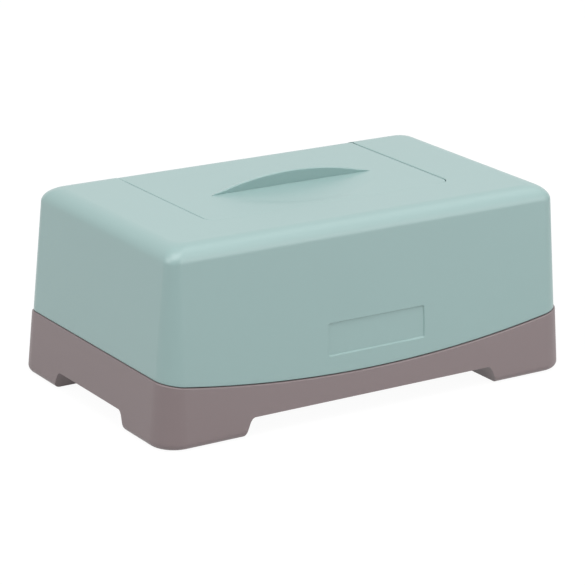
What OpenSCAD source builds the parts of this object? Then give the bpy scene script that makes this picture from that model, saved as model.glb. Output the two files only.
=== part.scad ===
// Countertop wipes dispenser: drafted two-tone box on four feet, flush top
// lid with a raised arched grip, rear hinge, press plate inside.
// Units are millimetres, +Z up, front of the box towards -Y, length along X.

/* [Body] */
// Length of the base at the table, along X
body_l = 240; // [200:1:280]
// Depth of the base at the table, along Y
body_w = 143.7; // [120:0.1:170]
// Height of the flat top above the table
body_h = 96.2; // [80:0.1:120]
// Slope of every outer wall, inward per millimetre of height
draft = 0.0768; // [0.03:0.0001:0.12]
// Corner radius of the body at the table, which shrinks as the walls lean in
corner_r = 13.9; // [11:0.1:20]
// Height of the rounding round the top edge
top_rv = 7.8; // [4:0.1:12]
// Width of the top rounding on the short ends
top_rhx = 10.3; // [8:0.1:18]
// Width of the top rounding on the front and back
top_rhy = 10.1; // [8:0.1:18]
// Wall thickness of the hood
wall = 2.4; // [1.6:0.1:3.5]

/* [Parting line] */
// Height of the parting line in the middle of the front
part_z = 21.7; // [16:0.1:28]
// Radius of the arc that the parting line follows
part_r = 659; // [400:1:1000]
// How far the base stands proud of the hood
step_out = 0.7; // [0.3:0.05:1.5]
// Open gap between hood and base
part_gap = 0.3; // [0.2:0.05:0.6]
// Height of the locating rim above the parting line
rim_h = 4; // [2:0.5:7]

/* [Feet] */
// Height of the open space under the base
notch_h = 9.6; // [6:0.1:14]
// Half width of the front notch at the table
notch_x = 74.9; // [60:0.1:90]
// Half width of the side notch at the table
notch_y = 34.8; // [25:0.1:50]
// How much each notch narrows towards its top, per side
notch_taper = 4.2; // [2:0.1:7]
// Height of the foot edge above the table
foot_z = 0.2; // [0.1:0.1:1]
// Radius of a rubber foot pad
pad_r = 8; // [5:0.5:12]

/* [Lid] */
// Half width of the lid
lid_x = 70.7; // [60:0.1:80]
// Front edge of the lid, measured forward of the centre
lid_front = 31.5; // [30:0.5:42]
// Corner radius at the front of the lid
lid_r = 6; // [5:0.5:14]
// Gap between the lid and the hood at the sides
lid_gap = 0.5; // [0.3:0.05:0.8]
// Gap between the lid and the hood at the front
front_gap = 0.35; // [0.3:0.05:0.8]
// How far the lid lies below the hood top
lid_drop = 0.15; // [0:0.05:0.3]
// Skin thickness of the lid
lid_t = 2.2; // [1.6:0.1:3]

/* [Grip] */
// Half width of the arched grip
brow_x = 47.5; // [38:0.1:56]
// Rise of the grip above the lid
brow_h = 7.2; // [4:0.1:10]
// Position of the upright grip face behind the centre
brow_y = 5.3; // [-4:0.1:10]
// Length over which the grip falls back to the lid
brow_l = 32; // [20:1:44]
// Depth of the finger dish in front of the grip
dish_d = 0.5; // [0.3:0.1:1]
// Reach of the finger dish in front of the grip face
dish_l = 34.7; // [26:0.1:36]

/* [Hinge] */
// Position of the hinge line behind the centre
hin_y = 57.5; // [54:0.1:60]
// Height of the hinge line
hin_z = 87.5; // [84:0.1:90]
// Radius of the hinge barrels
hin_r = 3.6; // [3:0.1:4.2]
// Radius of the hinge pins
pin_r = 1.25; // [1:0.05:1.6]
// Lower edge of the rear apron of the lid
apron_z = 84.1; // [83.6:0.1:86]

/* [Inside] */
// Height of the tray floor
floor_z = 12; // [10:0.1:16]
// Height of the shelf under the lid
shelf_z = 88; // [85:0.1:90]
// Half width of the dispensing opening
open_x = 52; // [35:0.5:58]
// Front edge of the dispensing opening, forward of the centre
open_f = 17.5; // [10:0.5:24]
// Rear edge of the dispensing opening, behind the centre
open_b = 36; // [20:0.5:38]
// Half length of the press plate
plate_x = 96; // [80:0.5:104]
// Half depth of the press plate
plate_y = 53; // [40:0.5:58]

/* [Hidden] */
eps = 0.01;
hx0 = body_l / 2;
hy0 = body_w / 2;
part_c = part_z + part_r;
cov_x = hx0 - step_out;
cov_y = hy0 - step_out;
top_z0 = body_h - top_rv;
lid_z = body_h - lid_drop;
brow_rad = (brow_x * brow_x + brow_h * brow_h) / (2 * brow_h);
foot_cx = 97.5;
foot_cy = 53;
plate_z = floor_z + 0.4;
mint = [0.60, 0.72, 0.70];
taupe = [0.50, 0.46, 0.45];

// one flat ring of points: a rectangle with rounded corners
function ring(hx, hy, r, z, n = 9) = [for (q = [0:3]) for (i = [0:n])
    let (a = 90 * q + 90 * i / n,
         sx = (q == 0 || q == 3) ? 1 : -1,
         sy = (q < 2) ? 1 : -1)
    [sx * (hx - r) + r * cos(a), sy * (hy - r) + r * sin(a), z]];
function flat2(p) = [for (v = p) [v[0], v[1]]];

// closed solid through a stack of rings, lowest first
module loft(rings) {
    n = len(rings[0]);
    m = len(rings);
    polyhedron(
        points = [for (r = rings) for (p = r) p],
        faces = concat(
            [[for (j = [0:n - 1]) j]],
            [[for (j = [0:n - 1]) m * n - 1 - j]],
            [for (k = [0:m - 2]) for (j = [0:n - 1])
                [k * n + j, (k + 1) * n + j, (k + 1) * n + (j + 1) % n, k * n + (j + 1) % n]]),
        convexity = 4);
}

// drafted box between two heights, t inside the outer wall, with corners that shrink alike
module drafted(t, z0, z1) {
    loft([for (z = [z0, z1]) let (d = t + draft * z) ring(hx0 - d, hy0 - d, corner_r - d, z)]);
}

// outer hood form: drafted wall and the soft rounding of the top edge
module hood_form(t, z0) {
    d0 = step_out + t + draft * z0;
    d1 = step_out + t + draft * top_z0;
    loft(concat(
        [ring(hx0 - d0, hy0 - d0, corner_r - d0, z0)],
        [for (a = [0:(t > 0 ? 15 : 7.5):90])
            ring(hx0 - d1 - (top_rhx - t * 0.6) * (1 - cos(a)), hy0 - d1 - (top_rhy - t * 0.6) * (1 - cos(a)),
                 corner_r - d1, top_z0 + (top_rv - t) * sin(a))]));
}

// base outer form with the rounded lower edge
module base_form() {
    rb = 3.4;
    z1 = part_z + 14;
    loft(concat(
        [for (a = [0:15:90]) let (d = draft * rb + rb * (1 - sin(a)))
            ring(hx0 - d, hy0 - d, corner_r - d, foot_z + rb * (1 - cos(a)))],
        [ring(hx0 - draft * z1, hy0 - draft * z1, corner_r - draft * z1, z1)]));
}

// the round cutter whose lower side is the parting surface, raised by dz
module above_parting(dz, dr = 0) {
    translate([0, 0, part_c + dz])
        rotate([90, 0, 0]) cylinder(r = part_r - dr, h = 400, center = true, $fn = 720);
}

// tapered opening between the feet, seen along Y, half width w at the table
module notch2d(w) {
    polygon([[-w, -5], [w, -5], [w, 0], [w - notch_taper + 0.9, notch_h - 2], [w - notch_taper - 0.3, notch_h - 0.5],
             [w - notch_taper - 1.6, notch_h], [-(w - notch_taper - 1.6), notch_h],
             [-(w - notch_taper - 0.3), notch_h - 0.5], [-(w - notch_taper + 0.9), notch_h - 2], [-w, 0]]);
}

// one cored foot pocket with the pad boss left standing, in the corner +X +Y
module foot_pocket() {
    difference() {
        translate([0, 0, -1]) linear_extrude(height = notch_h + 0.6)
            intersection() {
                polygon(flat2(ring(hx0 - 3.9, hy0 - 3.9, corner_r - 2.4, 0)));
                translate([notch_x + 2.6, notch_y + 2.4]) square([60, 60]);
            }
        translate([foot_cx, foot_cy, -2]) cylinder(r = pad_r + 1.6, h = 20, $fn = 64);
        translate([foot_cx - 0.8, foot_cy - 40, 1.6]) cube([1.6, 80, 20]);
        translate([foot_cx - 40, foot_cy - 0.8, 1.6]) cube([80, 1.6, 20]);
    }
}

module base_tray() {
    color(taupe) difference() {
        union() {
            // outer skirt, floor and feet, cut to the parting line
            difference() {
                base_form();
                drafted(2.6, floor_z, part_z + 20);
                above_parting(0);
                translate([0, 200, 0]) rotate([90, 0, 0]) linear_extrude(height = 400) notch2d(notch_x);
                translate([-200, 0, 0]) rotate([90, 0, 90]) linear_extrude(height = 400) notch2d(notch_y);
            }
            // ledge that carries the hood
            difference() {
                drafted(1, floor_z + 4, part_z + 14);
                drafted(5.4, floor_z, part_z + 20);
                above_parting(0);
                difference() {
                    translate([-200, -200, 0]) cube([400, 400, 60]);
                    above_parting(-3);
                }
            }
            // locating rim inside the hood
            difference() {
                drafted(step_out + wall + 0.4, floor_z + 4, part_z + 18);
                drafted(step_out + wall + 2.4, floor_z, part_z + 20);
                above_parting(rim_h);
                difference() {
                    translate([-200, -200, 0]) cube([400, 400, 60]);
                    above_parting(-2.6);
                }
            }
        }
        for (sx = [0, 1]) for (sy = [0, 1]) mirror([sx, 0, 0]) mirror([0, sy, 0]) {
            foot_pocket();
            translate([foot_cx, foot_cy, -1]) cylinder(r = pad_r + 0.1, h = 2.6, $fn = 64);
        }
    }
}

module foot_pad(sx, sy) {
    color([0.2, 0.2, 0.2]) translate([sx * foot_cx, sy * foot_cy, 0]) union() {
        translate([0, 0, 0.3]) cylinder(r = pad_r, h = 1.3, $fn = 64);
        cylinder(r = pad_r - 0.6, h = 0.5, $fn = 64);
    }
}
module foot_pad_fl() { foot_pad(-1, -1); }
module foot_pad_fr() { foot_pad(1, -1); }
module foot_pad_rl() { foot_pad(-1, 1); }
module foot_pad_rr() { foot_pad(1, 1); }

// plan outline with rounded front corners, open backward to y1
module lid_plan(hx, yf, y1, r) {
    union() {
        translate([-hx, -yf + r]) square([2 * hx, y1 + yf - r]);
        translate([-hx + r, -yf]) square([2 * (hx - r), r + 1]);
        for (s = [-1, 1]) translate([s * (hx - r), -yf + r]) circle(r = r, $fn = 72);
    }
}
// the arched grip down to zb: a round arch across, cut off in front and falling to the rear in a soft wave;
// z is the level it stands on, e the last part of the wave that is kept, hx its half width
module brow_form(z, zb, y0, hx, e) {
    t0 = (y0 - brow_y) / brow_l;
    intersection() {
        translate([0, y0 - 1, z + brow_h - brow_rad]) rotate([-90, 0, 0])
            cylinder(r = brow_rad, h = brow_l + 6, $fn = 360);
        along_x(-hx, hx) polygon(concat([[brow_y + brow_l * e, zb], [y0, zb]],
            [for (i = [0:10]) let (t = t0 + (e - t0) * i / 10)
                [brow_y + brow_l * t, z + brow_h * (0.5 + 0.5 * cos(180 * t)) + 0.01]]));
    }
}

// what the finger dish takes away: half an ellipse in plan
module dish_form() {
    translate([0, 0, lid_z - dish_d]) linear_extrude(height = 4)
        polygon([for (w = [0:5:180]) [(brow_x - 1) * cos(w), brow_y - dish_l * sin(w)]]);
}

// rounded rectangle from corner to corner
module rrect(x0, y0, x1, y1, r) {
    union() {
        translate([x0 + r, y0]) square([x1 - x0 - 2 * r, y1 - y0]);
        translate([x0, y0 + r]) square([x1 - x0, y1 - y0 - 2 * r]);
        for (x = [x0 + r, x1 - r]) for (y = [y0 + r, y1 - r])
            translate([x, y]) circle(r = r, $fn = 64);
    }
}
// ring between two rounded rectangles, w wide, outer corner radius r
module rring(x0, y0, x1, y1, r, w) {
    difference() {
        rrect(x0, y0, x1, y1, r);
        rrect(x0 + w, y0 + w, x1 - w, y1 - w, r - w);
    }
}
// extrude a (y, z) outline along X between two x values
module along_x(x0, x1) {
    translate([x0, 0, 0]) rotate([90, 0, 90]) linear_extrude(height = x1 - x0) children();
}

// hinge lug of the hood: barrel and a web running forward to the well wall
module hinge_lug(x0) {
    along_x(x0, x0 + 4) union() {
        translate([hin_y, hin_z]) circle(r = hin_r, $fn = 64);
        polygon([[47, hin_z + 0.4], [hin_y, hin_z + hin_r], [hin_y - 2.4, hin_z - 2.7], [47, 79.4]]);
    }
}

module body_cover() {
    color(mint) difference() {
        union() {
            difference() {
                intersection() {
                    hood_form(0, 14);
                    above_parting(part_gap);
                }
                // inside of the hood, kept clear of the shelf and the hinge well
                difference() {
                    hood_form(wall, 10);
                    translate([-lid_x - lid_gap - 2.2, -lid_front - front_gap - 2.2, shelf_z - 2])
                        cube([2 * (lid_x + lid_gap + 2.2), 200, 60]);
                    translate([-lid_x - lid_gap - 2.2, 46.6, 76.6])
                        cube([2 * (lid_x + lid_gap + 2.2), 100, 60]);
                }
                // the recess the lid lies in
                translate([0, 0, shelf_z]) linear_extrude(height = 60)
                    lid_plan(lid_x + lid_gap, lid_front + front_gap, 48.9, lid_r + 0.5);
                // hinge well and the cradle round the hinge line
                translate([-lid_x - lid_gap, 48.8, 78.6]) cube([2 * (lid_x + lid_gap), hin_y - 48.8, 60]);
                translate([-lid_x - lid_gap, hin_y, hin_z]) rotate([0, 90, 0])
                    cylinder(r = 8.3, h = 2 * (lid_x + lid_gap), $fn = 120);
                translate([-lid_x - lid_gap, hin_y - 1, 82.9]) cube([2 * (lid_x + lid_gap), 60, 60]);
                // dispensing opening
                translate([0, 0, shelf_z - 20]) linear_extrude(height = 40)
                    rrect(-open_x, -open_f, open_x, open_b, 14);
                // bare shallow panel on the front
                translate([2.2, -(cov_y - draft * 39.6), 39.6]) rotate([90 - atan(draft), 0, 0])
                    translate([0, 0, -0.8]) linear_extrude(height = 10) rrect(-28.3, -8, 28.3, 8, 1.2);
            }
            // raised lip round the dispensing opening
            translate([0, 0, shelf_z - 0.2]) linear_extrude(height = 1.2)
                rring(-open_x - 7, -open_f - 7, open_x + 7, open_b + 7, 19, 2.4);
            for (x = [-62, -50, 46, 58]) hinge_lug(x);
        }
        for (s = [-1, 1]) translate([s * 54, hin_y, hin_z]) rotate([0, 90, 0])
            cylinder(r = pin_r + 0.01, h = 16.4, center = true, $fn = 48);
    }
}

// outer skin of the lid in (y, z): flat top, rear rounding and apron, d inward
function lid_curve(d) = [for (a = [90:-6:0])
    [cov_y - draft * top_z0 - 0.1 - top_rhy + (top_rhy - d) * cos(a),
     top_z0 - lid_drop + (top_rv - (d > 0 ? lid_t : 0)) * sin(a)]];
function apron_y(d) = cov_y - draft * apron_z - 0.1 - d;

module lid_shell() {
    zb = 90.9;
    color(mint) difference() {
        union() {
            // top skin, front skirt and rear apron
            intersection() {
                along_x(-lid_x, lid_x) polygon(concat(
                    [[-lid_front, zb], [-lid_front, lid_z]], lid_curve(0), [[apron_y(0), apron_z]],
                    [[apron_y(1.8), apron_z]], [for (i = [0:15]) lid_curve(1.8)[15 - i]],
                    [[-lid_front + 1.8, lid_z - lid_t], [-lid_front + 1.8, zb]]));
                translate([0, 0, 70]) linear_extrude(height = 50) lid_plan(lid_x, lid_front, 80, lid_r);
            }
            // rim walls round the front corners and along the sides
            translate([0, 0, zb]) linear_extrude(height = lid_z - zb - 0.5) difference() {
                lid_plan(lid_x, lid_front, 50, lid_r);
                lid_plan(lid_x - 1.8, lid_front - 1.8, 60, lid_r - 1.8);
            }
            for (s = [0, 1]) mirror([s, 0, 0]) along_x(lid_x - 1.8, lid_x)
                polygon(concat([[40, zb], [40, lid_z - 0.6]], [for (i = [1:15]) lid_curve(0)[i]],
                    [[apron_y(0), apron_z], [hin_y - 1, apron_z], [hin_y - 5, zb]]));
            // raised grip
            brow_form(lid_z, lid_z - 1, brow_y, brow_x + 4, 0.92);
            // hinge barrels with their webs
            for (x = [-57.6, 50.4]) {
                translate([x, hin_y, hin_z]) rotate([0, 90, 0]) cylinder(r = hin_r, h = 7.2, $fn = 64);
                translate([x, hin_y - 1.5, hin_z]) cube([7.2, 3, 7.1]);
            }
            // pegs that hold the liner
            for (x = [-62, 0, 62]) for (y = [-27.7, 44.5]) translate([x, y, 90.7])
                cylinder(r = 1.2, h = 4.2, $fn = 32);
        }
        // hollow under the grip
        brow_form(lid_z - lid_t, lid_z - lid_t - 0.6, brow_y + lid_t, brow_x - 3, 0.84);
        // finger dish
        dish_form();
        for (s = [-1, 1]) translate([s * 54, hin_y, hin_z]) rotate([0, 90, 0])
            cylinder(r = pin_r + 0.06, h = 12, center = true, $fn = 48);
    }
}

module lid_liner() {
    z0 = 90.9;
    color([0.66, 0.76, 0.74]) difference() {
        union() {
            translate([0, 0, z0]) linear_extrude(height = 1.5) lid_plan(lid_x - 2.1, lid_front - 2.1, 47, lid_r - 2);
            // two ribs that hold the seal ring between them
            translate([0, 0, z0 - 1]) linear_extrude(height = 1.4)
                rring(-open_x - 8.6, -open_f - 8.6, open_x + 8.6, open_b + 8.6, 20, 1.4);
            translate([0, 0, z0 - 1]) linear_extrude(height = 1.4)
                rring(-open_x - 4.4, -open_f - 4.4, open_x + 4.4, open_b + 4.4, 17, 1.4);
        }
        for (x = [-62, 0, 62]) for (y = [-27.7, 44.5]) translate([x, y, 80])
            cylinder(r = 1.25, h = 20, $fn = 32);
    }
}

module lid_seal() {
    color([0.9, 0.9, 0.88]) union() {
        translate([0, 0, 89.8]) linear_extrude(height = 1.1)
            rring(-open_x - 7.2, -open_f - 7.2, open_x + 7.2, open_b + 7.2, 19, 2.8);
        translate([0, 0, 89.3]) linear_extrude(height = 0.6)
            rring(-open_x - 6.6, -open_f - 6.6, open_x + 6.6, open_b + 6.6, 18.4, 1.6);
    }
}

module hinge_pin(x0) {
    color([0.75, 0.76, 0.78]) translate([x0, hin_y, hin_z]) rotate([0, 90, 0])
        cylinder(r = pin_r, h = 15.8, $fn = 48);
}
module hinge_pin_left() { hinge_pin(-61.9); }
module hinge_pin_right() { hinge_pin(46.1); }

module press_plate() {
    color([0.93, 0.93, 0.91]) difference() {
        union() {
            translate([0, 0, plate_z]) linear_extrude(height = 2.2) rrect(-plate_x, -plate_y, plate_x, plate_y, 12);
            // edge rib, rib round the slot and frames for the weights
            translate([0, 0, plate_z]) linear_extrude(height = 7)
                rring(-plate_x, -plate_y, plate_x, plate_y, 12, 2);
            translate([0, 0, plate_z]) linear_extrude(height = 5) rrect(-34, -22, 34, 22, 21);
            for (s = [-1, 1]) translate([s * 66, 0, plate_z]) linear_extrude(height = 6.4)
                rrect(-19.6, -39.6, 19.6, 39.6, 4.6);
        }
        translate([0, 0, plate_z - 1]) linear_extrude(height = 20) rrect(-31.8, -19.8, 31.8, 19.8, 18.8);
        for (s = [-1, 1]) translate([s * 66, 0, plate_z + 2.2]) linear_extrude(height = 20)
            rrect(-18, -38, 18, 38, 3);
    }
}
module plate_weight(s) {
    color([0.7, 0.71, 0.73]) translate([s * 66, 0, plate_z + 2.2]) linear_extrude(height = 4)
        rrect(-17.9, -37.9, 17.9, 37.9, 2.9);
}
module plate_weight_left() { plate_weight(-1); }
module plate_weight_right() { plate_weight(1); }

base_tray();
foot_pad_fl();
foot_pad_fr();
foot_pad_rl();
foot_pad_rr();
body_cover();
lid_shell();
lid_liner();
lid_seal();
hinge_pin_left();
hinge_pin_right();
press_plate();
plate_weight_left();
plate_weight_right();
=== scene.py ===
# %% [markdown]
# # A countertop wipes dispenser in Blender
# The real object is a closed plastic box for wet wipes: a grey-green hood with soft, wide top edges sits on a
# taupe base with four corner feet, and a flush lid in the top opens by a raised arched grip. Every piece is
# made in the frame of the CAD model, so nothing has to be fitted afterwards. Forms are written in millimetres
# and turned into metres when a mesh is made. x runs to the right, y to the rear and z up.

# %% Load the CAD frame
import math
import bpy
import numpy as np
from mathutils import Matrix, Vector


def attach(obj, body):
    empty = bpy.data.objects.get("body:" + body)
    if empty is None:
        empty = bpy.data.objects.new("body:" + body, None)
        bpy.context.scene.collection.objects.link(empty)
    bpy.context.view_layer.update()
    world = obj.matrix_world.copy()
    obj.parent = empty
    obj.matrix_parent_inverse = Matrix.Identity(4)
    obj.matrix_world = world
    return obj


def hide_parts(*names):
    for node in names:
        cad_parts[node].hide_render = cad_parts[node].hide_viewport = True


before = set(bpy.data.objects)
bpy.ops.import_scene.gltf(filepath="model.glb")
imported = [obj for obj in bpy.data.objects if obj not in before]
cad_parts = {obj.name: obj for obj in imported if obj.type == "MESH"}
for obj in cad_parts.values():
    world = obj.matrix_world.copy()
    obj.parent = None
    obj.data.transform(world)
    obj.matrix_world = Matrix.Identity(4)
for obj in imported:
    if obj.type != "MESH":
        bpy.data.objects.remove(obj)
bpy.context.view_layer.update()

# %% [markdown]
# ## Camera
# The picture was taken with a long lens from the front left and a little above. A camera could be placed by eye,
# but the last few pixels never fall into place that way, so a camera and a drafted box were fitted together to
# the outline of the object. The numbers below are that fit: 33.8 degrees round to the left, 17.9 degrees up,
# 1.31 m away, with a small roll. The lens is given for a 36 mm sensor and a square picture.

# %% Place the camera
AROUND, ABOVE, ROLL = (math.radians(v) for v in (-33.7597, 17.9241, 1.1368))
DISTANCE, LOOK_AT = 1.311246, Vector((0, 0, 0.045))

back = Vector((math.sin(AROUND) * math.cos(ABOVE), -math.cos(AROUND) * math.cos(ABOVE), math.sin(ABOVE)))
level_side = (-back).cross(Vector((0, 0, 1))).normalized()
level_up = level_side.cross(-back)
rolled_side = level_side * math.cos(ROLL) + level_up * math.sin(ROLL)
rolled_up = -level_side * math.sin(ROLL) + level_up * math.cos(ROLL)

lens = bpy.data.cameras.new("studio_camera")
lens.lens, lens.sensor_width = 160.329, 36.0
lens.shift_x, lens.shift_y = -0.0060055, -0.0159818
lens.clip_start, lens.clip_end = 0.05, 50.0
camera = bpy.data.objects.new("studio_camera", lens)
bpy.context.scene.collection.objects.link(camera)
turn = Matrix((rolled_side, rolled_up, back)).transposed().to_4x4()
camera.matrix_world = Matrix.Translation(LOOK_AT + back * DISTANCE) @ turn
bpy.context.scene.camera = camera
print("camera at", [round(v, 3) for v in camera.location])

# %% [markdown]
# ## Lamps
# The photograph is a plain packshot: the top stays evenly bright until it has turned far down into the walls,
# and both visible walls are equally bright. One lamp would do for the walls, but it would draw a thin bright
# line along the front edge. The edge turns through every direction between up and forward, so it shows whatever
# stands there. That is why a tall panel and a low one stand in front of it, with one more on each side and one
# overhead, all large and soft.

# %% Hang the soft panels
AIM = Vector((0, 0, 0.05))
PANELS = [  # name, place in metres, width, height, watts
    ("key_panel", (0.84, -1.35, 0.90), 1.2, 1.9, 10.6),
    ("low_panel", (0.91, -1.51, 0.42), 1.2, 0.8, 2.7),
    ("right_panel", (0.95, -0.00, 1.58), 1.2, 1.2, 5.0),
    ("left_panel", (-1.46, -0.00, 1.11), 1.2, 1.2, 11.5),
    ("top_panel", (-0.28, -0.41, 1.78), 1.4, 1.4, 18.2),
]

def soft_panel(name, place, width, height, watts):
    """A soft rectangular lamp at place, turned so that it shines at the object."""
    light = bpy.data.lights.new(name, "AREA")
    light.shape, light.size, light.size_y, light.energy = "RECTANGLE", width, height, watts
    lamp = bpy.data.objects.new(name, light)
    lamp.location = place
    lamp.rotation_mode = "QUATERNION"
    lamp.rotation_quaternion = (AIM - Vector(place)).to_track_quat("-Z", "Y")
    bpy.context.scene.collection.objects.link(lamp)

for panel in PANELS:
    soft_panel(*panel)
print(len(PANELS), "panels,", round(sum(p[-1] for p in PANELS), 1), "W in all")

# %% [markdown]
# ## White background
# The background is pure white, yet the object isn't washed out. More light would whiten both, so the white is
# only a colour: the world and the floor look white to the camera and in reflections, and for the light that
# falls on the object they stay dim and grey. A share of the floor stays real paper, so it takes the shadow.

# %% Mixing in white for the camera
def white_for(nodes, links, rays, plain, white, output_kind, share=1.0):
    """Mixes two shaders into an output: plain, and white by a share for the named kinds of rays."""
    path, mix, out = (nodes.new(k) for k in ("ShaderNodeLightPath", "ShaderNodeMixShader", output_kind))
    last = path.outputs[rays[0]]
    for ray in rays[1:]:
        either = nodes.new("ShaderNodeMath")
        either.operation = "MAXIMUM"
        links.new(last, either.inputs[0])
        links.new(path.outputs[ray], either.inputs[1])
        last = either.outputs[0]
    part = nodes.new("ShaderNodeMath")
    part.operation = "MULTIPLY"
    part.inputs[1].default_value = share
    links.new(last, part.inputs[0])
    links.new(part.outputs[0], mix.inputs[0])
    links.new(plain.outputs[0], mix.inputs[1])
    links.new(white.outputs[0], mix.inputs[2])
    links.new(mix.outputs[0], out.inputs["Surface"])

# %% The world
WORLD_GLOW = 0.3
world = bpy.data.worlds.new("white_studio")
world.use_nodes = True
nodes, links = world.node_tree.nodes, world.node_tree.links
nodes.clear()
dim, bright = nodes.new("ShaderNodeBackground"), nodes.new("ShaderNodeBackground")
dim.inputs["Color"].default_value = bright.inputs["Color"].default_value = (1, 1, 1, 1)
dim.inputs["Strength"].default_value = WORLD_GLOW
white_for(nodes, links, ("Is Camera Ray", "Is Glossy Ray"), dim, bright, "ShaderNodeOutputWorld")
bpy.context.scene.world = world
bpy.context.scene.view_settings.view_transform = "Standard"
print("the world gives the object a glow of", WORLD_GLOW)

# %% The floor
FLOOR_GREY, FLOOR_WHITE, FLOOR_SHARE, FLOOR_HALF = 0.6, 1.08, 0.88, 6  # paper, white, share of white, half size in m
floor_mesh = bpy.data.meshes.new("floor")
floor_mesh.from_pydata([(sx * FLOOR_HALF, sy * FLOOR_HALF, 0) for sx, sy in ((-1, -1), (1, -1), (1, 1), (-1, 1))],
                       [], [(0, 1, 2, 3)])
floor = bpy.data.objects.new("floor", floor_mesh)
bpy.context.scene.collection.objects.link(floor)
floor_paint = bpy.data.materials.new("pale_floor")
floor_paint.use_nodes = True
nodes, links = floor_paint.node_tree.nodes, floor_paint.node_tree.links
nodes.clear()
paper, white = nodes.new("ShaderNodeBsdfDiffuse"), nodes.new("ShaderNodeEmission")
paper.inputs["Color"].default_value = (FLOOR_GREY, FLOOR_GREY, FLOOR_GREY, 1)
white.inputs["Strength"].default_value = FLOOR_WHITE
white_for(nodes, links, ("Is Camera Ray", "Is Glossy Ray", "Is Transmission Ray"), paper, white,
          "ShaderNodeOutputMaterial", FLOOR_SHARE)
floor_mesh.materials.append(floor_paint)
print("the floor is", 2 * FLOOR_HALF, "m wide")

# %% [markdown]
# ## Finishes
# Hood, lid and base are injection moulded with a fine satin grain. A flat colour would do from afar, but looks
# like paper close up. The grain is far too small to be seen as a pattern and only softens the reflections, so
# the plastic has a tiny bump, a slow drift in roughness and a very faint drift in colour. The other finishes
# are variations: rubber is rougher and darker, cast metal has a coarser grain, and drawn steel has fine lines
# along the pin.

# %% Screen colours as light
def linear(rgb):
    """Screen colour from 0 to 255 as linear light: v/12.92 near black, ((v + 0.055)/1.055) to the 2.4 above."""
    return [(v / 255 / 12.92) if v <= 10 else ((v / 255 + 0.055) / 1.055) ** 2.4 for v in rgb]

print("a screen grey of 128 is", round(linear([128])[0], 3), "of the light of white")

# %% Material maker
BUMP_DEPTH = 0.00004  # in metres

def finish(name, rgb, rough, grain=0.35, bump=0.15, drift=0.02, metal=0.0, ior=1.6, stretch=(1, 1, 1), slow=110):
    """A surface of one colour. Tone and roughness drift slowly over slow mm, and a bump has a grain of grain mm."""
    mat = bpy.data.materials.new(name)
    mat.use_nodes = True
    nodes, links = mat.node_tree.nodes, mat.node_tree.links
    bsdf = nodes["Principled BSDF"]
    where, drifting, tone, shine, scaled, fine, dents = (nodes.new("ShaderNode" + k) for k in (
        "TexCoord", "TexNoise", "Mix", "MapRange", "Mapping", "TexNoise", "Bump"))
    drifting.inputs["Scale"].default_value = 1000 / slow
    drifting.inputs["Detail"].default_value = 3.0
    links.new(where.outputs["Object"], drifting.inputs["Vector"])
    tone.data_type = "RGBA"
    tone.inputs["A"].default_value = [v * (1 - drift) for v in linear(rgb)] + [1]
    tone.inputs["B"].default_value = [min(v * (1 + drift), 1) for v in linear(rgb)] + [1]
    links.new(drifting.outputs["Fac"], tone.inputs["Factor"])
    links.new(tone.outputs["Result"], bsdf.inputs["Base Color"])
    shine.inputs["To Min"].default_value = rough * 0.9
    shine.inputs["To Max"].default_value = rough * 1.1
    links.new(drifting.outputs["Fac"], shine.inputs["Value"])
    links.new(shine.outputs["Result"], bsdf.inputs["Roughness"])
    scaled.inputs["Scale"].default_value = stretch
    fine.inputs["Scale"].default_value = 1000 / (2 * grain)
    fine.inputs["Detail"].default_value = 2.0
    links.new(where.outputs["Object"], scaled.inputs["Vector"])
    links.new(scaled.outputs["Vector"], fine.inputs["Vector"])
    dents.inputs["Strength"].default_value = bump
    dents.inputs["Distance"].default_value = BUMP_DEPTH
    links.new(fine.outputs["Fac"], dents.inputs["Height"])
    links.new(dents.outputs["Normal"], bsdf.inputs["Normal"])
    bsdf.inputs["Metallic"].default_value = metal
    bsdf.inputs["IOR"].default_value = ior
    return mat

# %% The eight finishes
hood_plastic = finish("hood_plastic", (145, 173, 171), 0.33)
base_plastic = finish("base_plastic", (125, 111, 112), 0.45, bump=0.2)
inner_plastic = finish("inner_plastic", (226, 229, 226), 0.38)
plate_plastic = finish("plate_plastic", (206, 213, 212), 0.35)
rubber = finish("rubber", (46, 46, 47), 0.75, grain=0.5, bump=0.4)
silicone = finish("silicone", (150, 156, 156), 0.5, grain=0.3, bump=0.1)
steel = finish("drawn_steel", (186, 188, 190), 0.28, grain=0.12, bump=0.3, metal=1.0, stretch=(30, 1, 1))
zinc = finish("cast_zinc", (150, 152, 154), 0.5, grain=0.9, bump=0.6, metal=1.0)
print(len(bpy.data.materials), "materials")

# %% [markdown]
# ## How the shells are made
# A shell like the hood could be a cube with bevels and boolean cuts, but bevels have one width everywhere and
# cuts leave long thin faces that shade badly. Here the outer skins are grids of points worked out with numpy:
# one parameter runs round the body and one runs up the wall, over the soft top edge and inward. Points that fall
# together, for instance where the grip runs out to nothing, are welded, and quads that lost a corner become
# triangles. What the outside doesn't show, such as ribs, lugs and inner walls, is taken from a copy of the CAD
# piece, without the faces that the new skin replaces. The skin has small rounded edges, which catch the light as
# real moulded edges do.

# %% Grids and welding
def grid_faces(rows, cols, closed=False):
    """Quads of a grid of rows by cols points; closed joins the last column to the first."""
    i = np.arange(rows - 1)[:, None]
    j = np.arange(cols if closed else cols - 1)[None, :]
    k = (j + 1) % cols
    return np.stack([i * cols + j, i * cols + k, (i + 1) * cols + k, (i + 1) * cols + j], -1).reshape(-1, 4)

def merge(points):
    """Makes one point of all that agree to a tenth of a micrometre. Gives the points left and the old ones' numbers
    among them."""
    _, first, number = np.unique(np.round(points, 4), axis=0, return_index=True, return_inverse=True)
    return points[first], number.reshape(-1)

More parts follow.
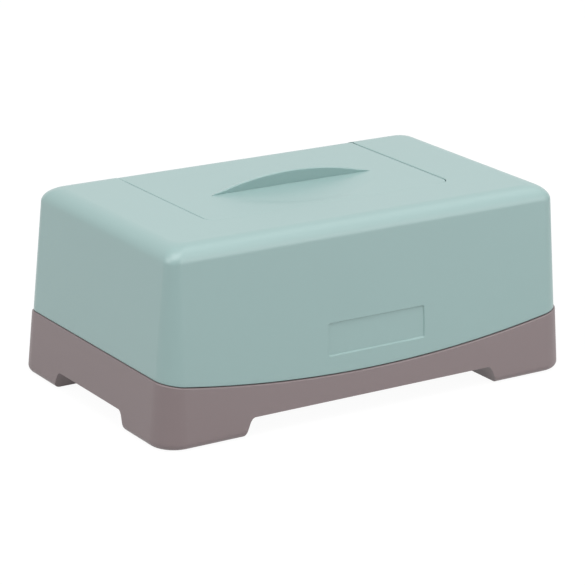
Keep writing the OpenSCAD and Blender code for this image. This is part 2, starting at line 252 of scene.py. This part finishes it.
def real_triangles(f):
    """The triangles whose three corners all differ."""
    return f[(f[:, 0] != f[:, 1]) & (f[:, 1] != f[:, 2]) & (f[:, 2] != f[:, 0])]

def weld(points, quads):
    """Merges the points of a grid. Gives them, the whole quads, and the triangles left of quads that lost a corner."""
    points, number = merge(points)
    quads = number[quads]
    same = quads == np.roll(quads, -1, axis=1)
    whole, once = quads[~same.any(1)], quads[same.sum(1) == 1]
    lost = np.argmax(once == np.roll(once, -1, axis=1), axis=1)
    left = (lost[:, None] + np.array([1, 2, 3])) % 4
    return points, whole, real_triangles(np.take_along_axis(once, left, 1))

print("a closed grid of 3 by 4 points has", len(grid_faces(3, 4, closed=True)), "quads")

# %% Reading a CAD piece
def cad_triangles(node):
    """Corners of a CAD node's triangles in mm, as an array of triangle, corner and axis, and their normals."""
    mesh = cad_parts[node].data
    mesh.calc_loop_triangles()
    co = np.empty(len(mesh.vertices) * 3)
    mesh.vertices.foreach_get("co", co)
    index = np.empty(len(mesh.loop_triangles) * 3, dtype=np.int64)
    mesh.loop_triangles.foreach_get("vertices", index)
    corners = co.reshape(-1, 3)[index].reshape(-1, 3, 3) * 1000
    normal = np.cross(corners[:, 1] - corners[:, 0], corners[:, 2] - corners[:, 0])
    return corners, normal / np.maximum(np.linalg.norm(normal, axis=1, keepdims=True), 1e-9)

tri, nrm = cad_triangles("body_cover")
print("the CAD hood has", len(tri), "triangles")

# %% Joining skin and CAD copy in one piece
SHARP = math.radians(30)

def make_piece(name, skin, kept, mat, body, node):
    """One object from a skin of points in mm and quads, and the kept CAD triangles. It is shaded smooth except at
    edges over 30 degrees, rides on body and stands for the CAD node."""
    skin_points, quads, tris = weld(*skin)
    cad_points, number = merge(kept.reshape(-1, 3))
    cad_tris = real_triangles(number.reshape(-1, 3)) + len(skin_points)
    mesh = bpy.data.meshes.new(name)
    mesh.from_pydata((np.concatenate([skin_points, cad_points]) / 1000).tolist(), [],
                     quads.tolist() + tris.tolist() + cad_tris.tolist())
    mesh.polygons.foreach_set("use_smooth", np.ones(len(mesh.polygons), dtype=bool))
    mesh.set_sharp_from_angle(angle=SHARP)
    mesh.validate()
    mesh.materials.append(mat)
    piece = bpy.data.objects.new(name, mesh)
    bpy.context.scene.collection.objects.link(piece)
    even = piece.modifiers.new("even_normals", "WEIGHTED_NORMAL")
    even.keep_sharp = True
    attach(piece, body)
    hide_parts(node)
    print(name, len(mesh.vertices), "points", len(mesh.polygons), "faces,", len(kept), "triangles from the CAD")
    return piece

print("edges over", round(math.degrees(SHARP)), "degrees will stay sharp")

# %% Finding the CAD faces that a skin replaces
ON_CURVE, ON_FLAT = 0.12, 0.02  # how close in mm a CAD point has to be to a curved or flat surface to lie in it

def outside_faces(corners, normal, distance):
    """True for triangles that lie in the surface where distance is nought and face out of it."""
    centre = corners.mean(1)
    on = (np.abs(distance(corners)) < ON_CURVE).all(1) & (np.abs(distance(centre)) < 2 * ON_CURVE)
    return on & (distance(centre + 0.2 * normal) > distance(centre) + 0.1)

print("CAD faces within", ON_CURVE, "mm of a skin give way to it")

# %% [markdown]
# ## The outline they share
# Seen from above every level of the body is a rectangle with round corners. The walls lean in by 0.077 mm per
# mm of height and the corners shrink by the same amount, so the corner centres stay where they are. The line
# where hood and base meet is a shallow arc that rises towards both ends. Hood and base use the same functions,
# so their walls line up by themselves.

# %% Sizes of the body in mm
HALF_L, HALF_W, TOP, DRAFT, CORNER_R = 120.0, 71.85, 96.2, 0.0768, 13.9  # at the table, TOP is the flat top
HOOD_IN, WALL = 0.7, 2.4                                # the hood stands in from the base; its wall thickness
EDGE_UP, EDGE_X, EDGE_Y = 7.8, 10.3, 10.1               # the soft top edge: height, and width at ends and sides
EDGE_Z = TOP - EDGE_UP
MEET_Z, MEET_R = 21.7, 659.0                            # the meeting line: lowest height and radius
RECESS_X, RECESS_FRONT, RECESS_R = 71.2, 31.85, 6.5     # the recess for the lid: half width, front, corners

def meeting_line(x):
    """Height of the meeting line at x: the lower side of a circle of radius MEET_R."""
    return MEET_Z + MEET_R - np.sqrt(MEET_R ** 2 - x ** 2)

def rounded_rect(x, y, hx, hy, r):
    """Signed distance in plan from a rectangle with corners of radius r, negative inside."""
    qx, qy = np.abs(x) - hx + r, np.abs(y) - hy + r
    return np.hypot(np.maximum(qx, 0), np.maximum(qy, 0)) + np.minimum(np.maximum(qx, qy), 0) - r

def soft(a, b, v):
    """A smooth step from 0 at a to 1 at b: three times the square less twice the cube of the way between them."""
    t = np.clip((v - a) / (b - a), 0, 1)
    return t * t * (3 - 2 * t)

print("meeting line rises from", MEET_Z, "to", round(float(meeting_line(HALF_L)), 1), "mm")

# %% Columns round the outline
FRONT, RIGHT, REAR, LEFT, FRONT_RIGHT, REAR_RIGHT, REAR_LEFT, FRONT_LEFT = range(8)
CENTRE_X = np.array([0, 0, 0, 0, 1, 1, -1, -1])  # on which side the centre of each corner lies
CENTRE_Y = np.array([0, 0, 0, 0, -1, 1, 1, -1])

def outline_columns(front_x, side_y, steps=18):
    """Columns round the body, counter-clockwise from the front left: on which of the eight stretches each one stands,
    and where, as the coordinate along a side or the angle in a corner."""
    arc = np.linspace(0, 90, steps + 1)[1:-1]
    runs = ((FRONT, front_x), (FRONT_RIGHT, arc - 90), (RIGHT, side_y), (REAR_RIGHT, arc),
            (REAR, front_x[::-1]), (REAR_LEFT, arc + 90), (LEFT, side_y[::-1]), (FRONT_LEFT, arc + 180))
    return np.concatenate([np.full(len(v), k) for k, v in runs]), np.concatenate([v for _, v in runs])

def spread(v, keep, full, now):
    """Positions on a side that was full long each way and is now shorter. Up to keep they stay in place, beyond it
    they share what is left evenly."""
    return np.where(np.abs(v) <= keep, v, np.sign(v) * (keep + (np.abs(v) - keep) * (now - keep) / (full - keep)))

def on_level(stretch, spot, hx, hy, r, keep_x, keep_y):
    """Plan points of the columns on a rectangle of half sizes hx and hy with corners of radius r: sides keep their
    spots as spread says, corners lie on circles round the corner centres."""
    ax, ay = spread(spot, keep_x, HALF_L - CORNER_R, hx - r), spread(spot, keep_y, HALF_W - CORNER_R, hy - r)
    turned = np.radians(spot)
    sides = [stretch == k for k in (FRONT, RIGHT, REAR, LEFT)]
    x = np.select(sides, [ax, hx + 0 * ax, ax, -hx + 0 * ax], CENTRE_X[stretch] * (hx - r) + r * np.cos(turned))
    y = np.select(sides, [-hy + 0 * ay, ay, hy + 0 * ay, ay], CENTRE_Y[stretch] * (hy - r) + r * np.sin(turned))
    return x, y

print("corner centres stand", round(HALF_L - CORNER_R, 1), "and", round(HALF_W - CORNER_R, 2), "mm from the middle")

# %% Sample positions and rows
def near(*places, fine=0.5, n=4):
    """Sample positions beside each place, n on each side of it within fine mm, for crisp small forms."""
    return np.concatenate([p + np.linspace(-fine, fine, 2 * n + 1) for p in places])

def samples(limit, step, *extra):
    """Sorted positions from -limit to limit, about step apart, with the extra ones added."""
    even = np.linspace(-limit, limit, int(round(2 * limit / step)) + 1)
    every = np.unique(np.round(np.concatenate([even] + [np.atleast_1d(e) for e in extra]), 3))
    return every[np.abs(every) <= limit + 1e-9]

def quarter_round(r):
    """A rounded edge of radius r in steps of 15 degrees, as pairs of how far in and how far along the wall."""
    return [(r * (1 - math.sin(a)), r * (1 - math.cos(a))) for a in np.radians(np.arange(0, 91, 15))]

def ring(x, y, z):
    """One row of points, with one height for all or one for each."""
    return np.stack([x, y, np.broadcast_to(z, x.shape)], 1)

print("a small rounded edge has", len(quarter_round(0.5)), "rows")

# %% [markdown]
# ## Hood
# The hood is one moulding: walls, a wide soft top edge, a flat frame round the lid, and a shallow panel in the
# front. The panel could be cut with a boolean, but pushing the rows and columns of the wall in by 0.7 mm keeps
# the grid whole and gives the step its soft moulded rim. The lower edge has a small rounding above the dark gap,
# which shows as a thin light line. The rear wall stops lower between x = -71 and 71, because the lid folds over
# the edge there.

# %% Columns of the hood
PANEL_X, PANEL_Z, PANEL_W, PANEL_H, PANEL_D = 2.2, 39.6, 28.3, 8.0, 0.7  # middle, half sizes and depth
PANEL_R, PANEL_RIM = 1.2, 0.45                                           # corner radius and width of the rim
panel_ends = near(PANEL_X - PANEL_W, PANEL_X + PANEL_W)
panel_rims = near(PANEL_Z - PANEL_H, PANEL_Z + PANEL_H)
bends = [RECESS_X, -RECESS_X, RECESS_X - RECESS_R, RECESS_R - RECESS_X]
stretch, spot = outline_columns(samples(HALF_L - CORNER_R, 5, panel_ends, bends), samples(HALF_W - CORNER_R, 5))
print("hood columns:", len(spot))

# %% Rows of the wall
LIP_GAP, LIP_R, LIP_IN, LIP_LEVEL = 0.3, 0.55, 1.2, 25  # gap over the meeting line, rounding, inner row, rough level
SPREAD_LOW, SPREAD_TOP, PLAIN_X = 22.7, 50, 36          # between these heights the rows even out beyond x = 36

def on_hood(z, inset=0.0):
    """Plan points of the hood's wall at height z, moved in by inset: draft and inset also shrink the corners."""
    d = HOOD_IN + DRAFT * z + inset
    return on_level(stretch, spot, HALF_L - d, HALF_W - d, CORNER_R - d, RECESS_X, RECESS_FRONT)

lip_z = meeting_line(on_hood(LIP_LEVEL)[0]) + LIP_GAP
rows = [ring(*on_hood(lip_z + rise, inset), lip_z + rise)
        for inset, rise in [(WALL, 0.0), (LIP_IN, 0.0)] + quarter_round(LIP_R)]

start = lip_z + LIP_R  # above the lip the rows lie close together at the rims of the panel
under, over = panel_rims[panel_rims < PANEL_Z], panel_rims[panel_rims > PANEL_Z]
for level in np.concatenate([[25.5, 28.5, 30.6], under, [35, 40, 44], over, [SPREAD_TOP]]):
    share = (level - SPREAD_LOW) / (SPREAD_TOP - SPREAD_LOW)
    plain = (stretch == FRONT) & (np.abs(spot) <= PLAIN_X)
    z = np.where(plain, np.maximum(level, start), start + (SPREAD_TOP - start) * share)
    x, y = on_hood(z)
    inside = -rounded_rect(x - PANEL_X, z - PANEL_Z, PANEL_W, PANEL_H, PANEL_R)
    pushed = np.where(stretch == FRONT, PANEL_D * soft(-PANEL_RIM / 2, PANEL_RIM / 2, inside), 0)
    rows.append(ring(x, y + pushed, z))
rows += [ring(*on_hood(level), level) for level in (56, 64, 72, 79, 82.9, EDGE_Z)]
wall_rows = len(rows)
print("hood wall rows:", wall_rows)

# %% Rows of the soft top edge
inset = HOOD_IN + DRAFT * EDGE_Z
for a in np.radians(np.linspace(0, 90, 19)[1:]):
    in_x, in_y = (inset + width * (1 - math.cos(a)) for width in (EDGE_X, EDGE_Y))
    x, y = on_level(stretch, spot, HALF_L - in_x, HALF_W - in_y, CORNER_R - inset, RECESS_X, RECESS_FRONT)
    rows.append(ring(x, y, EDGE_Z + EDGE_UP * math.sin(a)))
print("hood rows up to the flat top:", len(rows))

# %% The edge of the recess
SIDE_END, CORNER_END = 44, 50                          # y where side and corner columns end on the recess
FLAT_REAR = HALF_W - HOOD_IN - DRAFT * EDGE_Z - EDGE_Y  # y where the flat top ends at the rear

def recess_edge():
    """For each column the point of the recess outline that it runs to, and the direction out of the recess there.
    Columns of the front share its straight edge and the first half of the turn at the recess corners, those of the
    front corners take the second half, and all others run to the straight sides, in order from front to rear."""
    on = lambda *which: np.isin(stretch, which)
    flat_x, half_x, half_y = RECESS_X - RECESS_R, HALF_L - CORNER_R, HALF_W - CORNER_R
    half_turn = (np.abs(spot) - flat_x) / (half_x - flat_x) * 0.5
    turned = np.select([on(FRONT), on(FRONT_RIGHT), on(FRONT_LEFT)],
                       [half_turn, 0.5 + (spot + 90) / 180, 0.5 + (270 - spot) / 180], 0)
    angle = np.radians(-90 + 90 * np.clip(turned, 0, 1))
    hand = np.where(on(FRONT, REAR), np.sign(spot), np.where(on(FRONT_RIGHT, RIGHT, REAR_RIGHT), 1, -1))
    out_x, out_y = hand * np.cos(angle), np.sin(angle)
    x, y = hand * (flat_x + RECESS_R * np.cos(angle)), -RECESS_FRONT + RECESS_R + RECESS_R * np.sin(angle)
    straight = on(FRONT) & (np.abs(spot) <= flat_x)
    x, y = np.where(straight, spot, x), np.where(straight, -RECESS_FRONT, y)
    out_x, out_y = np.where(straight, 0, out_x), np.where(straight, -1, out_y)
    side_y = -RECESS_FRONT + RECESS_R + (spot + half_y) / (2 * half_y) * (SIDE_END + RECESS_FRONT - RECESS_R)
    corner_y = SIDE_END + np.where(on(REAR_RIGHT), spot, 180 - spot) / 90 * (CORNER_END - SIDE_END)
    rear_y = CORNER_END + (half_x - np.abs(spot)) / (half_x - RECESS_X) * (FLAT_REAR - CORNER_END)
    y = np.select([on(RIGHT, LEFT), on(REAR_RIGHT, REAR_LEFT), on(REAR)], [side_y, corner_y, rear_y], y)
    beside = on(RIGHT, LEFT, REAR_RIGHT, REAR_LEFT, REAR)
    return (np.where(beside, hand * RECESS_X, x), y, np.where(beside, hand, out_x), np.where(beside, 0, out_y))

edge_x, edge_y, out_x, out_y = recess_edge()
print("recess edge from y =", round(float(edge_y.min()), 2), "to", round(float(edge_y.max()), 2))

# %% Rows over the flat top and down the recess
SLIM, ROUND = 0.15, 0.55  # radius of the recess edge in front and at the sides
SKIRT = 0.56              # the last row reaches just past the top of the CAD copy's wall, so no slit stays open
edge_r = np.clip(SLIM + (edge_y + RECESS_FRONT) / RECESS_R * (ROUND - SLIM), SLIM, ROUND)
edge_r = np.clip((FLAT_REAR - edge_y) / 4, 0, 1) * edge_r  # it runs out to nothing over the last 4 mm

last, goal = rows[-1], ring(edge_x + out_x * edge_r, edge_y + out_y * edge_r, TOP)
rows += [last + (goal - last) * t for t in (0.33, 0.66, 1.0)]
for a in np.radians((22.5, 45, 67.5, 90)):
    out = edge_r * (1 - math.sin(a))
    rows.append(ring(edge_x + out_x * out, edge_y + out_y * out, TOP - edge_r * (1 - math.cos(a))))
rows.append(ring(edge_x, edge_y, TOP - SKIRT))

quads = grid_faces(len(rows), len(spot), closed=True)
rear_middle = (stretch == REAR) & (np.abs(spot) <= RECESS_X + 0.01)
column, row = quads[:, :2] % len(spot), quads[:, 0] // len(spot)
under_apron = rear_middle[column].all(1) & (row >= wall_rows - 2)
hood_skin = (np.concatenate(rows), quads[~under_apron])
print("hood grid", len(rows), "by", len(spot))

# %% Join the hood's skin and its CAD copy
def hood_distance(p):
    """Roughly how far a point stands outside the hood's outer surface, in mm."""
    x, y, z = p[..., 0], p[..., 1], p[..., 2]
    c = 1 - np.cos(np.arcsin(np.clip((z - EDGE_Z) / EDGE_UP, 0, 1)))
    d = HOOD_IN + DRAFT * np.minimum(z, EDGE_Z)
    return np.maximum(rounded_rect(x, y, HALF_L - d - EDGE_X * c, HALF_W - d - EDGE_Y * c, CORNER_R - d), z - TOP)

x, y, z = np.moveaxis(tri, 2, 0)
outer = outside_faces(tri, nrm, hood_distance)
lip = (np.abs(z - meeting_line(x) - LIP_GAP) < ON_CURVE).all(1) & (nrm[:, 2] < -0.9)
panel = (np.abs(x - PANEL_X) < PANEL_W + 0.1).all(1) & (np.abs(z - PANEL_Z) < PANEL_H + 0.3).all(1)
panel &= (y < -HALF_W + 6).all(1) & (hood_distance(tri) > -1.2).all(1)  # only the outer half of the front wall
kept = tri[~(outer | lip | panel)].copy()
kept[..., 2] = np.where(kept[..., 2] > TOP - ON_FLAT, TOP - ROUND, kept[..., 2])
hood = make_piece("hood_shell", hood_skin, kept, hood_plastic, "cover", "body_cover")

# %% [markdown]
# ## Lid
# The lid lies flush in the hood and folds over its rear edge. Its grip is an arch that rises out of the flat
# top with an upright face in front and slopes straight down to the rear, so that from the front nothing shows
# behind its crest. In front of it a very shallow dish gives the fingertips room. Grip and dish could be modelled
# by hand and merged, but the grip has to die out into the lid without a crease at both ends. So all of it is one
# surface: rows from the front edge to the rear apron, with the height of each point worked out from its place.

# %% Sizes and forms of the lid
LID_X, LID_FRONT, LID_R, LID_DROP = 70.7, 31.5, 6.0, 0.15         # half width, front, corners, drop below the hood
GRIP_X, GRIP_UP, GRIP_Y = 47.5, 7.2, 5.3                          # the grip: half width, height, y of its face
GRIP_FALL, UNDERCUT = 0.43, 0.08                                  # its fall to the rear, its face's lean to the front
DISH_L, DISH_D = 34.7, 0.32                                       # the dish: reach from the grip, and depth
REAR_GAP = 0.1                                                    # how far the apron stands in from the hood
LID_Z, LID_EDGE_Z = TOP - LID_DROP, EDGE_Z - LID_DROP
LID_TURN = FLAT_REAR - REAR_GAP                                   # y where the lid starts to fold down
GRIP_R = (GRIP_X ** 2 + GRIP_UP ** 2) / (2 * GRIP_UP)

def arch(x):
    """Rise of the grip over the lid: a circular arc over the half width, 0 beyond it."""
    inside = np.minimum(np.abs(x), GRIP_X)
    return np.where(np.abs(x) < GRIP_X, np.sqrt(GRIP_R ** 2 - inside ** 2) - GRIP_R + GRIP_UP, 0)

def crest_r(x):
    """Radius of the rounding along the crest: 1 mm, less where the arch is low."""
    return np.minimum(1.0, 0.45 * arch(x))

def dish(x, y):
    """Depth of the finger dish, a half ellipse in plan: level at the grip face, deepest before its front rim."""
    v = np.clip((GRIP_Y - y) / DISH_L, 0, None)
    return DISH_D * soft(0, 0.6, v) * (1 - soft(0.8, 1, np.hypot(x / GRIP_X, v)))

def apron(z):
    """y of the lid's rear apron at height z, in line with the hood's rear wall."""
    return HALF_W - HOOD_IN - DRAFT * z - REAR_GAP

print("grip arc radius", round(GRIP_R, 1), "mm")

# %% One row of the lid
RIM = np.array([0, 0.03, 0.08, 0.16, 0.26, 0.38, 0.52, 0.7, 1.2, 2.2])  # close columns along each side edge
RIM_W = 3.2  # the even columns start this far from the edge
inner_share = samples(LID_X - RIM_W, 1.9, GRIP_X, -GRIP_X) / (LID_X - RIM_W)

def lid_half_width(y):
    """Half width of the lid at y, narrower in the round front corners. At the rear it is a quarter of a mm wider,
    so that the seams don't end in a dark hole."""
    into = np.clip(-y - LID_FRONT + LID_R, 0, LID_R)
    return LID_X - LID_R + np.sqrt(LID_R ** 2 - into ** 2) + 0.25 * soft(LID_TURN - 8, LID_TURN - 2, y)

def edge_drop(dist, r):
    """How far a rounded edge of radius r has fallen at a distance from the outline: r less the circle's height."""
    return r - np.sqrt(np.maximum(r * r - np.clip(r - dist, 0, r) ** 2, 0))

def lid_row(y, height, normal=(0, 0, 1)):
    """One row of lid points at y. The height is a number or a function of x, and near the outline the points drop
    along normal by a rounded edge, which is slim in front, wider at the sides and slim again at the rear."""
    half = lid_half_width(y)
    x = np.concatenate([-(half - RIM), inner_share * (half - RIM_W), (half - RIM)[::-1]])
    dist = np.minimum(-rounded_rect(x, min(y, 0), LID_X, LID_FRONT, LID_R), LID_X - np.abs(x))
    widen = soft(1.5 - LID_FRONT, LID_R - LID_FRONT, y) * (1 - soft(LID_TURN - 5, LID_TURN, y))
    drop = edge_drop(np.maximum(dist, 0), SLIM + (ROUND - SLIM) * widen)
    z = height(x) if callable(height) else np.full_like(x, height)
    return np.stack([x, np.full_like(x, y), z], 1) - drop[:, None] * np.array(normal)

print("points in a lid row:", len(lid_row(0, LID_Z)))

# %% Rows from the front edge to the grip's crest
lid_rows = []
corner_turns = np.radians(np.concatenate([[90, 87.5, 85, 82, 79, 76, 73, 70], np.arange(64, -1, -8)]))
flat_ys = [LID_R - LID_FRONT - LID_R * math.sin(a) for a in corner_turns]
flat_ys += list(np.linspace(LID_R - LID_FRONT, GRIP_Y, 34)[1:])
for y in flat_ys:
    lid_rows.append(lid_row(y, lambda x: LID_Z - dish(x, y)))
for t in (0, 0.25, 0.5, 0.75, 1.0):        # up the grip's face
    row = lid_row(GRIP_Y, lambda x: LID_Z + t * (arch(x) - crest_r(x)))
    row[:, 1] += UNDERCUT * (1 - t) * arch(row[:, 0])
    lid_rows.append(row)
for a in np.radians(np.arange(12, 91, 13)):  # round its upper edge to the crest
    ahead, below = 1 - math.cos(a), 1 - math.sin(a)
    row = lid_row(GRIP_Y, lambda x: LID_Z + arch(x) - crest_r(x) * (below + GRIP_FALL * ahead))
    row[:, 1] += crest_r(row[:, 0]) * ahead
    lid_rows.append(row)
print("lid rows up to the crest:", len(lid_rows))

# %% Rows from the crest down the slope and over the rear edge
def slope_row(t, tail=1.5, hollow=0.25):
    """A row of the grip's rear slope, t going from its crest to just behind the line where it meets the lid. The
    height is the mean of v and the root of v squared and hollow squared, v being a straight fall, so that the slope
    ends in a small hollow instead of a crease."""
    row = lid_row(GRIP_Y, LID_Z)
    rise, begin = arch(row[:, 0]), crest_r(row[:, 0])
    reach = np.where(rise > 0, rise / GRIP_FALL + tail, 0)
    behind = begin + np.maximum(reach - begin, 0) * t
    v = rise - GRIP_FALL * behind
    foot = 0.5 * (np.sqrt((GRIP_FALL * tail) ** 2 + hollow ** 2) - GRIP_FALL * tail)
    row[:, 1] += behind
    row[:, 2] += np.where(rise > 0, 0.5 * (v + np.sqrt(v * v + hollow ** 2)) - foot * t, 0)
    return row

lid_rows += [slope_row(t) for t in np.linspace(0, 1, 25)[1:]]
lid_rows += [lid_row(y, LID_Z) for y in (27.5, 31, 36, 41, 45, 49.5, LID_TURN)]
for a in np.radians(np.arange(85, -1, -5)):
    n = np.array([0, math.cos(a) / EDGE_Y, math.sin(a) / EDGE_UP])
    lid_rows.append(lid_row(LID_TURN + EDGE_Y * math.cos(a), LID_EDGE_Z + EDGE_UP * math.sin(a),
                            n / np.linalg.norm(n)))
APRON_Z = 84.1  # the apron's lower edge
for z, inset in ((84.5, 0), (84.2, 0.1), (APRON_Z, 0.4), (APRON_Z, 1.8)):
    lid_rows.append(lid_row(apron(z) - inset, z, (0, 1, 0)))
lid_skin = (np.concatenate(lid_rows), grid_faces(len(lid_rows), len(lid_rows[0])))
print("lid grid", len(lid_rows), "by", len(lid_rows[0]))

# %% [markdown]
# ## Under the lid's skin
# The CAD copy brings the lid's underside, its barrels and the hollow below the grip. The slope of the new skin is
# steeper than that of the CAD piece, so the ceiling of the hollow would poke through it. It is lowered to stay a
# wall's thickness below the skin.

# %% Join the lid's skin and its CAD copy
CEILING = 1.9                    # wall between the grip's skin and the hollow, in mm
TOP_DEPTH, UNDERSIDE = 0.52, 2.3  # how far down the CAD top with its dish reaches, and a little below its plate

def rear_curve(p):
    """Distance of a point outside the lid's rear rounding and apron, seen from the side."""
    y, z = p[..., 1], p[..., 2]
    a = np.arcsin(np.clip((z - LID_EDGE_Z) / EDGE_UP, 0, 1))
    return y - np.where(z > LID_EDGE_Z, LID_TURN + EDGE_Y * np.cos(a), apron(z))

tri, nrm = cad_triangles("lid_shell")
x, y, z = np.moveaxis(tri, 2, 0)
top = (z > LID_Z - TOP_DEPTH).all(1) & (nrm[:, 2] > -0.2) & (y < LID_TURN + 0.05).all(1)
curve = (np.abs(rear_curve(tri)) < ON_CURVE).all(1) & (nrm[:, 1] + nrm[:, 2] > 0.5) & (np.abs(nrm[:, 0]) < 0.5)
sole = (np.abs(z - APRON_Z) < ON_FLAT).all(1)
kept = tri[~(top | curve | sole)].copy()
x, y, z = np.moveaxis(kept, 2, 0)  # z looks into kept, so writing to it moves the kept points
z[...] = np.where(np.abs(z - LID_Z) < ON_FLAT, LID_Z - ROUND, z)
under_grip = (np.abs(x) < GRIP_X) & (y > GRIP_Y + 0.5) & (z > LID_Z - UNDERSIDE)
skin_z = LID_Z + np.maximum(arch(x) - GRIP_FALL * (y - GRIP_Y), 0)
z[...] = np.where(under_grip, np.minimum(z, skin_z - CEILING), z)
lid = make_piece("lid_shell_skin", lid_skin, kept, hood_plastic, "lid", "lid_shell")

# %% [markdown]
# ## Base
# The base is a second moulding in taupe. Its wall goes on in the line of the hood's, one step further out, and
# its lower edge is rounded at the feet. Between the feet the wall is cut away in wide notches with slanted ends.
# A boolean could cut them, but then the cut edge has no clean ring of faces. So the skin is again a grid: each
# column starts at the meeting line and ends where the notch or the foot ends it.

# %% Columns of the base
FOOT_Z, FOOT_R, NOTCH_H = 0.2, 3.4, 9.6   # the lower edge and its rounding, and the height of the notches
NOTCH_X, NOTCH_Y, TAPER = 74.9, 34.8, 4.2  # half widths of the notches at the table, and width of a slanted end
NOTCH_BENDS = np.array([-TAPER - 1.6, -TAPER - 0.3, -TAPER + 0.9, 0])  # from the notch's end at the table inward
NOTCH_RISES = [NOTCH_H, NOTCH_H - 0.5, NOTCH_H - 2, 0]

def notch(v, w):
    """Height of the notch at a distance v from the middle of a side, w being its half width at the table."""
    return np.interp(np.abs(v), w + NOTCH_BENDS, NOTCH_RISES)

def notch_samples(w):
    """Close positions round both ends of a notch, with its bends among them."""
    end = np.concatenate([np.linspace(w - 6.2, w + 0.2, 20), w + NOTCH_BENDS])
    return np.concatenate([-end, end])

def foot_inset(z):
    """How far the round lower edge stands in at height z: the radius less its circle."""
    a = np.clip(1 - (z - FOOT_Z) / FOOT_R, 0, 1)
    return FOOT_R * (1 - np.sqrt(1 - a * a))

stretch, spot = outline_columns(samples(HALF_L - CORNER_R, 5, notch_samples(NOTCH_X)),
                                samples(HALF_W - CORNER_R, 5, notch_samples(NOTCH_Y)))
print("base columns:", len(spot))

# %% Rows of the base
BASE_R, LEDGE_IN, INNER_IN = 0.5, 3.4, 1.5  # rounding under the gap, and how far in the two rows of the ledge lie
MID_Z, BASE_LEVEL = 11, 24.0                # the last even row, and a rough level of the meeting line
KEEP_X, KEEP_Y = 90, 50                     # columns up to here stand straight over one another

def on_base(z, inset=0.0):
    """Plan points of the base's wall at height z, moved in by inset: the draft counts from the foot's rounding up."""
    d = DRAFT * np.maximum(z, FOOT_R) + foot_inset(z) + inset
    return on_level(stretch, spot, HALF_L - d, HALF_W - d, CORNER_R - d, KEEP_X, KEEP_Y)

x, y = on_base(np.full(len(spot), BASE_LEVEL))
top_z = meeting_line(x)
low = np.select([np.isin(stretch, (FRONT, REAR)), np.isin(stretch, (RIGHT, LEFT))],
                [notch(x, NOTCH_X), notch(y, NOTCH_Y)], 0)
low = np.maximum(low, FOOT_Z)

heights = [(top_z - fall, inset) for inset, fall in [(LEDGE_IN, 0.0), (INNER_IN, 0.0)] + quarter_round(BASE_R)]
heights += [(top_z - BASE_R + (MID_Z - top_z + BASE_R) * t, 0) for t in (0.25, 0.5, 0.75, 1.0)]
foot_levels = FOOT_Z + FOOT_R * (1 - np.cos(np.radians(np.linspace(90, 0, 13))))
heights += [(np.maximum(level, low), 0) for level in np.concatenate([[NOTCH_H, 8, 6, 4.6], foot_levels])]
base_rows = [ring(*on_base(z, inset), z) for z, inset in heights]
base_skin = (np.concatenate(base_rows), grid_faces(len(base_rows), len(spot), closed=True)[:, ::-1])
print("base grid", len(base_rows), "by", len(spot))

# %% Join the base's skin and its CAD copy
def base_distance(p):
    """Roughly how far a point stands outside the base's outer surface, in mm."""
    x, y, z = p[..., 0], p[..., 1], p[..., 2]
    d = DRAFT * np.maximum(z, FOOT_R) + foot_inset(z)
    return rounded_rect(x, y, HALF_L - d, HALF_W - d, CORNER_R - d)

tri, nrm = cad_triangles("base_tray")
over_line = tri[..., 2] - meeting_line(tri[..., 0])
outer = outside_faces(tri, nrm, base_distance) & (over_line < 0.15).all(1)
ledge = (np.abs(over_line) < ON_CURVE).all(1) & (nrm[:, 2] > 0.9) & (base_distance(tri) > -LEDGE_IN - 0.3).all(1)
base = make_piece("base_shell", base_skin, tri[~(outer | ledge)], base_plastic, "base", "base_tray")

# %% [markdown]
# ## The pieces that are seen when the box is open
# Pads, liner, seal, pins, plate and weights are plain turned or flat forms that the CAD model has exactly. They
# could be built again, but that would only add a chance of error, so they are shown as they are and only get
# their finish.

# %% Finishes of the small pieces
FINISH_OF = {"foot_pad_fl": rubber, "foot_pad_fr": rubber, "foot_pad_rl": rubber, "foot_pad_rr": rubber,
             "lid_liner": inner_plastic, "lid_seal": silicone, "press_plate": plate_plastic,
             "hinge_pin_left": steel, "hinge_pin_right": steel,
             "plate_weight_left": zinc, "plate_weight_right": zinc}
for node, mat in FINISH_OF.items():
    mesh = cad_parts[node].data
    mesh.materials.clear()
    mesh.materials.append(mat)
print(len(FINISH_OF), "CAD pieces dressed")
